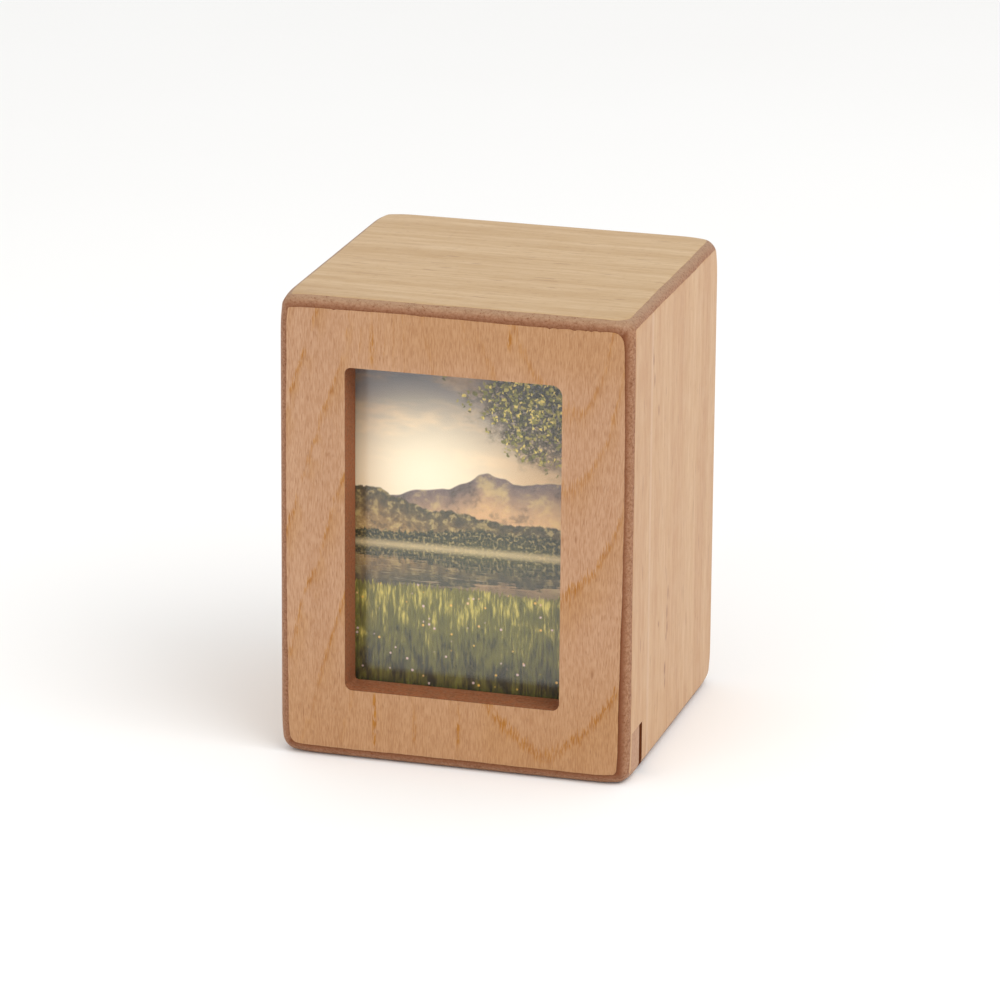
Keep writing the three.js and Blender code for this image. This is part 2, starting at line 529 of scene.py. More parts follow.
class Effects:
    """The shader node groups that several finishes share."""

    def __init__(self) -> None:
        """Builds each group once."""
        self.grain = self.grain_lines()
        self.fibres = self.board_fibres()
        self.varnish = self.varnish_gloss()
        self.ridge = self.ridge_layer()

    @staticmethod
    def grain_lines() -> Tree:
        """Straight grain: broad bands, streaks, fine fibres, short pores and a few dark hairlines.

        The place comes with x across the grain and y along it, and a slow noise shifts it across.
        Each kind is noise that is scaled by its width across and its length along. Noise above a
        limit gives the pores and the hairlines.
        """
        kinds = (("Bands", 7.0, 220.0), ("Streaks", 1.8, 45.0), ("Fibres", 0.5, 3.0))
        inputs: dict[str, object] = {"Grain": None, "Sway": 1.0, "Pore Limit": 0.62}
        for kind, width, length in kinds:
            inputs |= {f"{kind} Width": width, f"{kind} Length": length}
        outputs = dict.fromkeys([*(kind[0] for kind in kinds), "Pores", "Hairs"], "Float")
        maker = GroupMaker("Grain lines", inputs, outputs)
        g, inp = maker.graph, maker.inputs
        slow = g.streaky(inp["Grain"], (0.03, 0.014, 1.0))
        parts = g.parts(inp["Grain"])
        shift = g.times(g.less(slow, 0.5), inp["Sway"])
        across = g.plus(parts[0], shift)
        results = {}
        for number, (kind, _, _) in enumerate(kinds):
            place = g.point(
                g.ratio(across, inp[f"{kind} Width"]),
                g.ratio(parts[1], inp[f"{kind} Length"]),
                g.plus(parts[2], 5.0 * number),
            )
            results[kind] = g.noise(place, 1.0, 2.0)
        swayed = g.point(across, parts[1], parts[2])
        dots = g.streaky(swayed, (3.2, 0.42, 1.0), (31.0, 7.0, 3.0), rough=0.4, detail=1.0)
        limit = inp["Pore Limit"]
        results["Pores"] = g.rise(dots, limit, g.plus(limit, 0.1))
        lines = g.streaky(swayed, (1.1, 0.1, 1.0), (13.0, 2.0, 8.0), rough=0.4, detail=1.0)
        results["Hairs"] = g.rise(lines, 0.69, 0.76)
        return maker.give(**results)

    @staticmethod
    def board_fibres() -> Tree:
        """Pressed fibres of the board: a fine felt, longer strands, and broad clouds."""
        maker = GroupMaker(
            "Board fibres",
            {"Place": None, "Strand Length": 1.0},
            {"Felt": "Float", "Strands": "Float", "Clouds": "Float"},
        )
        g, inp = maker.graph, maker.inputs
        felt = g.noise(inp["Place"], 1.6, 3.0, 0.75)
        along = g.stretch(inp["Place"], (0.3, 0.8, 0.8))
        strands = g.noise(along, g.ratio(1.5, inp["Strand Length"]), 3.0, 0.7)
        clouds = g.noise(inp["Place"], 0.16, 2.0, 0.5)
        return maker.give(Felt=felt, Strands=strands, Clouds=clouds)

    @staticmethod
    def varnish_gloss() -> Tree:
        """Satin varnish: roughness that wanders a little, and a faint unevenness of its film."""
        maker = GroupMaker(
            "Varnish",
            {"Place": None, "Roughness": 0.45, "Spread": 0.12},
            {"Roughness": "Float", "Film": "Float"},
        )
        g, inp = maker.graph, maker.inputs
        patches = g.noise(inp["Place"], 0.21, 3.0)
        film = g.noise(inp["Place"], 0.9, 2.0)
        drift = g.times(g.less(patches, 0.5), inp["Spread"])
        rough = g.plus(drift, inp["Roughness"], clamp=True)
        return maker.give(Roughness=rough, Film=film)

    @staticmethod
    def ridge_layer() -> Tree:
        """One ridge of a landscape: full below its crest line, with dappled light on its slopes.

        The crest is the height plus rolling noise, a slope across, and fine noise for tree tops.
        """
        maker = GroupMaker(
            "Ridge",
            {"Place": None, "Height": 0.5, "Relief": 0.1, "Scale": 3.0, "Slope": 0.0,
             "Tree Tops": 0.0, "Texture Scale": 14.0},
            {"Mask": "Float", "Depth": "Float", "Light": "Float"},
        )
        g, inp = maker.graph, maker.inputs
        parts = g.parts(inp["Place"])
        run = g.point(parts[0], inp["Height"])
        roll = g.less(g.noise(run, inp["Scale"], 4.0), 0.5)
        tops = g.less(g.noise(run, 85.0, 3.0, 0.75), 0.5)
        crest = g.times_plus(roll, inp["Relief"], inp["Height"])
        crest = g.times_plus(parts[0], inp["Slope"], crest)
        crest = g.times_plus(tops, inp["Tree Tops"], crest)
        depth = g.less(crest, parts[1])
        mask = g.rise(depth, -0.003, 0.003)
        spots = g.noise(inp["Place"], inp["Texture Scale"], 6.0, 0.7)
        return maker.give(Mask=mask, Depth=depth, Light=g.rise(spots, 0.32, 0.68))


def new_material(name: str) -> tuple[Material, Graph, bpy.types.Node]:
    """Makes a material with a Principled shader, and gives it with its graph and its shader."""
    material = bpy.data.materials.new(name)
    material.use_nodes = True
    graph = Graph(material.node_tree)
    return material, graph, material.node_tree.nodes["Principled BSDF"]


class GrainRun(Enum):
    """Axes across and along the grain of a sheet."""

    FACE_UPRIGHT = (0, 2)
    SIDE_UPRIGHT = (1, 2)
    LEFT_TO_RIGHT = (1, 0)


@dataclass(frozen=True)
class FlatSawnFigure:
    """Growth rings of a flat-sawn sheet, as golden dashed lines with a brown shade beside them.

    On the right they are bows that open upwards, and on the left they are leaning lines. Brown and
    golden are tints that multiply the colour under them.
    """

    brown: Colour = (0.91, 0.82, 0.58, 1.0)
    golden: Colour = (0.83, 0.6, 0.06, 1.0)

    # Bows on the right: the line of their lowest points, how they rise from it, and their count
    axis: float = 24.0
    axis_lean: float = 0.075
    blunt: float = 10.0
    right_steepness: Pair = (1.9, 3.3e-6)
    left_steepness: Pair = (1.2, 0.007)
    side_change: Pair = (-2.0, 2.0)
    crown: float = 137.0
    ratio: float = 1.474
    bow_phase: float = 0.55
    bow_widths: Pair = (1.7, 2.8)
    least_pitch: Pair = (11.0, 13.5)
    upper_fade: Ramp = (50.0, 75.0, 0.45)

    # Leaning lines on the left: their two leans, where one turns into the other, and their count
    leans: Pair = (0.3, -0.17)
    lean_change: Pair = (-28.0, -10.0)
    lean_foot: float = 8.0
    line_spacing: float = 9.9
    line_phase: float = 0.1
    line_widths: Pair = (0.6, 0.9)
    stile: Pair = (-22.0, -27.0)
    faint: float = 0.3
    clear: float = 0.85
    foot_fade: Pair = (10.0, 34.0)
    foot_share: float = 0.35

    # Both kinds: where one gives way to the other, their profile, wander, gaps and dashes
    border: Pair = (4.0, 10.0)
    core: float = 0.3
    shade_reach: float = 0.55
    drift: float = 3.0
    lift: float = 5.0
    hatch: float = 9.5
    gaps: Pair = (0.36, 0.53)
    thin_places: Pair = (0.36, 0.56)
    uneven: float = 0.3
    dashes: Pair = (0.41, 0.55)

    # Single strokes near the foot and the upper edge
    strokes: tuple[Fleck, ...] = (
        (-20.3, 11.0, 0.8, 11.0, 1.7), (1.6, 10.5, 0.8, 9.0, 1.0), (-9.8, 10.0, 0.9, 8.0, 0.6),
        (-21.0, 108.5, 0.9, 8.0, 0.9), (14.2, 113.0, 1.1, 4.0, 1.0),
    )

    # Browner ends of the sheet: the foot, and the upper end from the left to the right
    upper_end: Pair = (96.0, 112.0)
    upper_across: Pair = (-40.0, -5.0)
    foot_end: Pair = (46.0, 6.0)
    end_share: float = 0.7

    def bows(self, g: Graph, x: Socket, z: Socket) -> tuple[Socket, Socket]:
        """Counts the bows.

        A bow rises over its lowest point by its steepness times (the root of across squared plus
        blunt squared, less blunt). The height less that rise is the bow's base, and the logarithm
        of the way from the base to the crown counts the bows, so they part towards the foot. The
        steepness grows with the height on the left, and with its cube on the right.

        Args:
            g: Graph of the material.
            x: Place across in millimetres.
            z: Height in millimetres.

        Returns:
            The count, and the millimetres from one bow to the next.
        """
        axis = g.times_plus(z, self.axis_lean, self.axis)
        across = g.less(x, axis)
        root = g.math("SQRT", g.times_plus(across, across, self.blunt**2))
        left = g.times_plus(z, self.left_steepness[1], self.left_steepness[0])
        cube = g.math("POWER", z, 3.0)
        right = g.times_plus(cube, self.right_steepness[1], self.right_steepness[0])
        turn = g.rise(across, *self.side_change)
        steep = g.times_plus(turn, g.less(right, left), left)
        rise = g.times(steep, g.less(root, self.blunt))
        to_crown = g.plus(g.less(rise, z), self.crown)
        count = g.less(g.math("LOGARITHM", to_crown, self.ratio), self.bow_phase)
        return count, g.times(to_crown, math.log(self.ratio))

    def lines(self, g: Graph, x: Socket, z: Socket) -> Socket:
        """Counts the leaning lines: the place across less the lean times the height."""
        change = g.rise(x, *self.lean_change, self.leans[1] - self.leans[0])
        lean = g.plus(change, self.leans[0])
        aside = g.times(lean, g.less(z, self.lean_foot))
        count = g.ratio(g.less(x, aside), self.line_spacing)
        return g.less(count, self.line_phase)

    def bands(
        self, g: Graph, count: Socket, pitch: object, widths: Pair
    ) -> tuple[Socket, Socket]:
        """Line where the count is whole, and a wide shade after it.

        Args:
            g: Graph of the material.
            count: Count of the rings.
            pitch: Millimetres from one ring to the next.
            widths: Millimetres that the line reaches before and after the whole count.

        Returns:
            The line and the shade, both from 0 to 1.
        """
        part = g.math("FRACT", count)
        after = g.times(part, pitch)
        before = g.times(g.less(1.0, part), pitch)
        sides = zip((before, after), widths)
        first, second = (g.rise(off, width, self.core * width) for off, width in sides)
        return g.most(first, second), g.rise(part, self.shade_reach, 0.0)

    def lay_over(self, g: Graph, grain: Socket, colour: Socket) -> Socket:
        """Lays the figure over a colour, which first turns browner to the foot and upper right.

        Args:
            g: Graph of the material.
            grain: Place across and along the grain.
            colour: Colour under the figure.

        Returns:
            The colour with the figure.
        """
        parts = g.parts(grain)
        upper = g.rise(parts[1], *self.upper_end, self.end_share)
        upper = g.times(upper, g.rise(parts[0], *self.upper_across))
        ends = g.most(g.rise(parts[1], *self.foot_end, self.end_share), upper)
        drift = g.streaky(grain, (0.05, 0.04, 1.0))
        lift = g.streaky(grain, (0.11, 0.05, 1.0), (7.0, 3.0, 5.0))
        comb = g.streaky(grain, (2.5, 0.05, 1.0), (2.0, 4.0, 21.0), 0.7)
        x = g.plus(parts[0], g.times_plus(drift, self.drift, -self.drift / 2))
        lift = g.times_plus(lift, self.lift, g.times(comb, self.hatch))
        z = g.plus(parts[1], g.less(lift, (self.lift + self.hatch) / 2))
        count, pitch = self.bows(g, x, z)
        bows = self.bands(g, count, pitch, self.bow_widths)
        lines = self.bands(g, self.lines(g, x, z), self.line_spacing, self.line_widths)
        right = g.rise(parts[0], *self.border)
        clear = g.plus(g.rise(parts[0], *self.stile, self.clear - self.faint), self.faint)
        broken = g.streaky(grain, (0.2, 0.08, 1.0), (1.0, 6.0, 12.0))
        clear = g.times(clear, g.rise(broken, *self.gaps))
        grown = g.rise(parts[1], *self.foot_fade, 1.0 - self.foot_share)
        clear = g.times(clear, g.plus(grown, self.foot_share))
        left = g.times(clear, g.less(1.0, right))
        right = g.times(right, g.rise(pitch, *self.least_pitch))
        uneven = g.rise(broken, *self.thin_places, self.uneven)
        right = g.times(right, g.plus(uneven, 1.0 - self.uneven))
        right = g.times(right, g.less(1.0, g.rise(z, *self.upper_fade)))
        line, shade = (
            g.times_plus(bow, right, g.times(thin, left))
            for bow, thin in zip(bows, lines)
        )
        dashes = g.streaky(grain, (3.0, 0.33, 1.0), (5.0, 9.0, 40.0), 0.6)
        browning = g.times_plus(ends, g.less(1.0, shade), shade)
        colour = g.mix(browning, colour, self.brown, "MULTIPLY")
        for stroke in self.strokes:
            line = g.most(line, g.fleck(grain, stroke))
        line = g.times(line, g.rise(dashes, *self.dashes))
        return g.mix(line, colour, self.golden, "MULTIPLY")


@dataclass(frozen=True)
class VeneerFinish:
    """A thin wood veneer under satin varnish.

    Bands, streaks and fibres each have a width, a length and a share in the colour. Marks are
    single dark flecks, each with its place across and along the grain, half sizes and share.
    """

    name: str
    run: GrainRun
    pale: Colour
    dark: Colour
    pore: Colour
    seed: float
    sway: float
    bands: Streak
    streaks: Streak
    fibres: Streak
    pore_limit: float = 0.62
    pore_share: float = 0.4
    hair_share: float = 0.5
    figure: FlatSawnFigure | None = None
    marks: tuple[Fleck, ...] = ()
    pale_line: float | None = None
    pale_line_ramp: Ramp = (1.6, 0.4, 0.1)
    contrast: Pair = (0.36, 0.64)
    roughness: float = 0.46
    film_share: float = 0.3
    relief: float = 0.35
    pore_depth: float = 0.03

    def build(self, effects: Effects) -> Material:
        """Builds the material: straight grain, then the figure, then pores, hairlines and marks.

        Args:
            effects: The shared node groups.

        Returns:
            The finished material.
        """
        material, g, shader = new_material(self.name)
        place = g.millimetres()
        axes = g.parts(place)
        across, along = self.run.value
        grain = g.point(axes[across], axes[along], self.seed)
        kinds = {"Bands": self.bands, "Streaks": self.streaks, "Fibres": self.fibres}
        sizes = {}
        for kind, (width, length, _) in kinds.items():
            sizes |= {f"{kind}_Width": width, f"{kind}_Length": length}
        lines = g.group(
            effects.grain, Grain=grain, Sway=self.sway, Pore_Limit=self.pore_limit, **sizes
        )
        tone: object = 0.0
        for kind, (_, _, share) in kinds.items():
            tone = g.plus(tone, g.rise(lines[kind], *self.contrast, share), clamp=True)
        colour = g.mix(tone, self.pale, self.dark)
        if self.pale_line is not None:
            off = g.absolute(g.less(axes[across], self.pale_line))
            colour = g.mix(g.rise(off, *self.pale_line_ramp), colour, linear(255, 244, 225))
        if self.figure is not None:
            colour = self.figure.lay_over(g, grain, colour)
        pores = g.times(lines["Pores"], self.pore_share)
        flecks = g.most(pores, g.times(lines["Hairs"], self.hair_share))
        for mark in self.marks:
            flecks = g.most(flecks, g.fleck(grain, mark))
        colour = g.mix(flecks, colour, self.pore)
        gloss = g.group(effects.varnish, Place=place, Roughness=self.roughness)
        height = g.less(g.times(gloss["Film"], self.film_share), flecks)
        normal = g.bump(height, self.relief, self.pore_depth)
        g.fill(shader, Base_Color=colour, Roughness=gloss["Roughness"], Normal=normal)
        return material


@dataclass(frozen=True)
class FibreboardFinish:
    """Bare fibreboard edge under thin varnish, with painted shade in the step beside the front veneer
    and in the right slit, and a painted sheen where it faces up.
    """

    name: str
    body: Colour
    strand: Colour
    fleck: Colour
    dark_specks_and_shade: Colour
    raw: Colour
    inner: Colour
    painted_sheen_and_flowers: Colour
    strand_ramp: Ramp = (0.42, 0.6, 0.75)
    cloud_ramp: Ramp = (0.45, 0.75, 0.3)
    fleck_ramp: Ramp = (0.46, 0.62, 0.7)
    speck_ramp: Ramp = (0.42, 0.32, 0.85)
    raw_ramp: Ramp = (0.4, 0.7, 0.55)
    top_sheen_span: Pair = (0.3, 0.95)
    top_sheen_share: float = 0.5
    inner_fleck_loss: float = 0.6
    painted_shade_span: Pair = (0.5, 1.1)
    roughness: float = 0.5
    inner_roughness: float = 0.75
    sheen: float = 0.25
    relief: float = 0.5
    fibre_depth: float = 0.1

    def build(self, effects: Effects) -> Material:
        """Builds the material from felt, strands and clouds, and the masks of the piece, with painted
        shade and painted sheen.

        Args:
            effects: The shared node groups.

        Returns:
            The finished material.
        """
        material, g, shader = new_material(self.name)
        place = g.millimetres()
        felt, strands, clouds = g.group(effects.fibres, Place=place)
        raw, painted_shade, inner = (
            g.add("ShaderNodeAttribute", attribute_name=name).outputs["Fac"]
            for name in ("raw", "painted_shade", "inner")
        )
        colour = g.mix(inner, self.body, self.inner)
        colour = g.mix(g.rise(strands, *self.strand_ramp), colour, self.strand)
        colour = g.mix(g.rise(clouds, *self.cloud_ramp), colour, self.strand)
        pale = g.times_plus(inner, -self.inner_fleck_loss, 1.0)
        flecks = g.times(g.rise(felt, *self.fleck_ramp), pale)
        colour = g.mix(flecks, colour, self.fleck)
        # Painted sheen: faces that look up turn pale grey-brown, less so on the window walls
        upward = g.parts(g.add("ShaderNodeNewGeometry").outputs["Normal"])[2]
        outside = g.times_plus(inner, -self.top_sheen_share, self.top_sheen_share)
        colour = g.mix(g.rise(upward, *self.top_sheen_span, outside), colour, self.painted_sheen_and_flowers)
        # Dark specks in the felt, in the colour that the painted shade uses too
        colour = g.mix(g.rise(felt, *self.speck_ramp), colour, self.dark_specks_and_shade)
        bare = g.mix(g.rise(strands, *self.raw_ramp), self.raw, self.body)
        colour = g.mix(raw, colour, bare)
        # Painted shade: the shade mask, at a strength that wanders with the felt, darkens the step
        # beside the front veneer and the slit in the right side
        least, most = self.painted_shade_span
        shade_strength = g.times_plus(felt, most - least, least)
        colour = g.mix(g.times(painted_shade, shade_strength, clamp=True), colour, self.dark_specks_and_shade)
        gloss = g.group(effects.varnish, Place=place, Roughness=self.roughness)
        matt = g.most(inner, raw)
        more = self.inner_roughness - self.roughness
        rough = g.times_plus(matt, more, gloss["Roughness"], clamp=True)
        normal = g.bump(g.plus(felt, strands), self.relief, self.fibre_depth)
        g.fill(shader, Base_Color=colour, Roughness=rough, Normal=normal)
        g.fill(shader, Specular_IOR_Level=self.sheen)
        return material


@dataclass(frozen=True)
class PaneFinish:
    """Clear acrylic of the pane, with a little dust in its gloss."""

    name: str
    index: float = 1.38
    roughness: float = 0.04
    dust: float = 0.03

    def build(self, effects: Effects) -> Material:
        """Builds clear glass that lets shadow rays straight through."""
        material, g, shader = new_material(self.name)
        gloss = g.group(
            effects.varnish, Place=g.millimetres(), Roughness=self.roughness, Spread=self.dust
        )
        g.fill(shader, Base_Color=(1.0, 1.0, 1.0, 1.0), IOR=self.index, Transmission_Weight=1.0)
        g.fill(shader, Roughness=gloss["Roughness"])
        clear = g.add("ShaderNodeBsdfTransparent")
        rays = g.add("ShaderNodeLightPath").outputs
        through = g.most(rays["Is Shadow Ray"], rays["Is Diffuse Ray"])
        shaders = {0: through, 1: shader.outputs[0], 2: clear.outputs[0]}
        both = g.add("ShaderNodeMixShader", shaders).outputs[0]
        g.fill(material.node_tree.nodes["Material Output"], Surface=both)
        return material


@dataclass(frozen=True)
class PrintFinish:
    """A generic landscape print: evening sky, ridges, a lake that mirrors them, and a meadow."""

    name: str
    window_low: np.ndarray
    window_high: np.ndarray
    waterline: float = 0.43
    shore: float = 0.29

    def build(self, effects: Effects) -> Material:
        """Builds the print from the far sky to the near leaves, one layer over another.

        Args:
            effects: The shared node groups.

        Returns:
            The finished material.
        """
        material, g, shader = new_material(self.name)
        middle = float(self.window_low[0] + self.window_high[0]) / 2
        foot = float(self.window_low[1])
        tall = float(self.window_high[1]) - foot
        axes = g.parts(g.millimetres())
        u = g.ratio(g.less(axes[0], middle), tall)
        v = g.ratio(g.less(axes[2], foot), tall)
        place = g.point(u, v)
        depth = g.less(self.waterline, v)
        ripple = self.ripples(g, u, depth)
        far = self.mirrored(g, u, depth, ripple)
        colour = self.ridges(g, effects, far, self.sky(g, far))
        colour = self.lake(g, depth, ripple, colour)
        colour = self.meadow(g, u, v, place, colour)
        colour = self.bough(g, place, colour)
        tooth = g.noise(g.millimetres(), 4.0, 2.0)
        colour = g.mix(g.rise(tooth, 0.35, 0.75, 0.06), colour, linear(255, 250, 240))
        g.fill(shader, Base_Color=colour, Roughness=g.times_plus(tooth, 0.1, 0.3))
        return material

    @staticmethod
    def ripples(g: Graph, u: Socket, depth: Socket) -> Socket:
        """Waves on the lake from -0.5 to 0.5, closer together towards the far shore."""
        away = g.ratio(0.05, g.plus(g.most(depth, 0.0), 0.02))
        place = g.point(g.times(u, g.times_plus(away, 7.0, 5.0)), g.times(away, 34.0))
        return g.less(g.noise(place, 1.0, 3.0, 0.6), 0.5)

    def mirrored(self, g: Graph, u: Socket, depth: Socket, ripple: Socket) -> Socket:
        """Place in the far scene: unchanged above the waterline, mirrored and rippled below it."""
        sway = g.times(ripple, g.times(g.most(depth, 0.0), 0.9))
        height = g.plus(g.absolute(depth), g.plus(sway, self.waterline))
        across = g.times_plus(sway, 0.25, u)
        return g.point(across, height)

    @staticmethod
    def sky(g: Graph, place: Socket) -> Socket:
        """Blue-grey sky over a warm horizon, with a low sun on the left and banks of cloud."""
        height = g.parts(place)[1]
        colour = g.mix(g.rise(height, 0.5, 0.98), linear(240, 198, 140), linear(98, 98, 102))
        away = g.length(g.stretch(place, (1.0, 1.2, 0.0), (0.13, -0.78, 0.0)))
        banks = g.streaky(place, (2.6, 7.5, 1.0), (4.2, 1.0, 7.0), rough=0.6, detail=6.0)
        lit = g.mix(g.rise(away, 0.55, 0.08), linear(106, 88, 78), linear(255, 208, 148))
        colour = g.mix(g.rise(banks, 0.46, 0.66, 0.85), colour, lit)
        return g.mix(g.rise(away, 0.4, 0.0), colour, linear(255, 240, 208))

    @staticmethod
    def ridges(g: Graph, effects: Effects, place: Socket, colour: Socket) -> Socket:
        """Two hazy ridges and a wooded shore, each nearer one darker than the one behind."""
        layers = (
            (dict(Height=0.63, Relief=0.26, Scale=2.3, Slope=0.16, Tree_Tops=0.0),
             9.0, linear(116, 98, 92), linear(214, 168, 118)),
            (dict(Height=0.55, Relief=0.16, Scale=4.1, Slope=-0.14, Tree_Tops=0.02),
             38.0, linear(74, 66, 42), linear(158, 124, 74)),
            (dict(Height=0.49, Relief=0.07, Scale=3.3, Slope=0.05, Tree_Tops=0.05),
             110.0, linear(36, 42, 18), linear(96, 94, 38)),
        )
        for shape, texture, crest, foot in layers:
            ridge = g.group(effects.ridge, Place=place, Texture_Scale=texture, **shape)
            body = g.mix(g.rise(ridge["Depth"], 0.0, 0.13), crest, foot)
            body = g.mix(g.rise(ridge["Light"], 0.5, 0.0, 0.55), body, linear(30, 34, 26))
            body = g.mix(g.rise(ridge["Light"], 0.5, 1.0, 0.4), body, linear(236, 206, 128))
            colour = g.mix(ridge["Mask"], colour, body)
        return colour

    @staticmethod
    def lake(g: Graph, depth: Socket, ripple: Socket, colour: Socket) -> Socket:
        """Cool dark tint and pale wave crests on the water, and mist along the far shore."""
        wet = g.rise(depth, -0.002, 0.002)
        water = g.mix(g.rise(depth, 0.0, 0.14, 0.72), colour, linear(56, 58, 46))
        water = g.mix(g.rise(ripple, 0.06, 0.25, 0.3), water, linear(238, 214, 168))
        colour = g.mix(wet, colour, water)
        mist = g.rise(g.absolute(depth), 0.02, 0.0, 0.5)
        return g.mix(mist, colour, linear(240, 212, 158))

    def meadow(self, g: Graph, u: Socket, v: Socket, place: Socket, colour: Socket) -> Socket:
        """Near bank of tall grass, sunlit along its edge, with small flowers."""
        run = g.point(u, 3.7)
        edge = g.times_plus(g.noise(run, 3.0, 2.0), 0.16, self.shore - 0.1)
        edge = g.times_plus(g.noise(run, 120.0, 3.0, 0.7), 0.09, edge)
        depth = g.less(edge, v)
        blades = g.streaky(place, (120.0, 17.0, 1.0), rough=0.65, detail=4.0)
        tufts = g.streaky(place, (26.0, 11.0, 1.0), (3.0, 8.0, 2.0), rough=0.6, detail=3.0)
        light = g.plus(blades, g.times(tufts, 0.8))
        light = g.less(light, g.rise(depth, 0.0, 0.3, 0.28))
        body = g.mix(g.rise(light, 0.45, 0.85), linear(24, 26, 8), linear(102, 98, 32))
        body = g.mix(g.rise(light, 0.82, 1.15), body, linear(214, 194, 92))
        dots = g.add("ShaderNodeTexVoronoi", {"Vector": place, "Scale": 58.0}).outputs
        tint = g.add("ShaderNodeSeparateColor", {0: dots["Color"]}).outputs
        # Mask of the small flowers
        painted_sheen_and_flowers = g.times(g.rise(dots["Distance"], 0.3, 0.16), g.rise(tint[0], 0.8, 0.83))
        petal = g.mix(g.rise(tint[1], 0.4, 0.6), linear(206, 176, 168), linear(226, 176, 72))
        body = g.mix(painted_sheen_and_flowers, body, petal)
        return g.mix(g.rise(depth, -0.002, 0.003), colour, body)

    @staticmethod
    def bough(g: Graph, place: Socket, colour: Socket) -> Socket:
        """A leafy bough that hangs in from the upper right, dark inside and sunlit outside."""
        u, v, _ = g.parts(place)
        wiggle = g.times_plus(g.noise(place, 5.0, 2.0), 0.12, 0.77)
        off = g.absolute(g.less(v, g.times_plus(u, 0.45, wiggle)))
        twig = g.rise(g.less(off, g.rise(u, 0.02, 0.4, 0.012)), 0.003, 0.0)
        twig = g.times(twig, g.rise(u, 0.02, 0.08))
        away = g.length(g.stretch(place, (1.0, 1.15, 0.0), (-0.42, -1.22, 0.0)))
        clumps = g.less(g.noise(place, 8.0, 4.0, 0.65), 0.5)
        reach = g.times_plus(clumps, 0.55, away)
        curl = g.less(g.noise(place, 60.0, 2.0), 0.5)
        gaps = g.rise(g.noise(place, 75.0, 3.0, 0.7), 0.36, 0.5)
        inside = g.times(g.rise(reach, 0.5, 0.34, 0.95), gaps)
        colour = g.mix(g.most(inside, twig), colour, linear(34, 34, 16))
        for scale, shift, sunlit in ((66.0, 0.0, 0.0), (88.0, 3.0, 0.4), (116.0, 7.0, 0.9)):
            turned = g.stretch(place, (1.0, 0.75, 1.0), (shift, shift, shift))
            bent = g.point(g.times(curl, 0.03))
            turned = g.add("ShaderNodeVectorMath", {0: turned, 1: bent}).outputs[0]
            cell = g.add("ShaderNodeTexVoronoi", {"Vector": turned, "Scale": scale}).outputs
            tint = g.add("ShaderNodeSeparateColor", {0: cell["Color"]}).outputs
            there = g.math("LESS_THAN", tint[0], g.rise(reach, 0.52, 0.24, 0.8))
            leaf = g.times(g.rise(cell["Distance"], 0.5, 0.3), there)
            green = g.mix(tint[1], linear(40, 44, 16), linear(128, 124, 40))
            glow = g.mix(g.times(tint[2], sunlit), green, linear(232, 206, 98))
            colour = g.mix(leaf, colour, glow)
        return colour


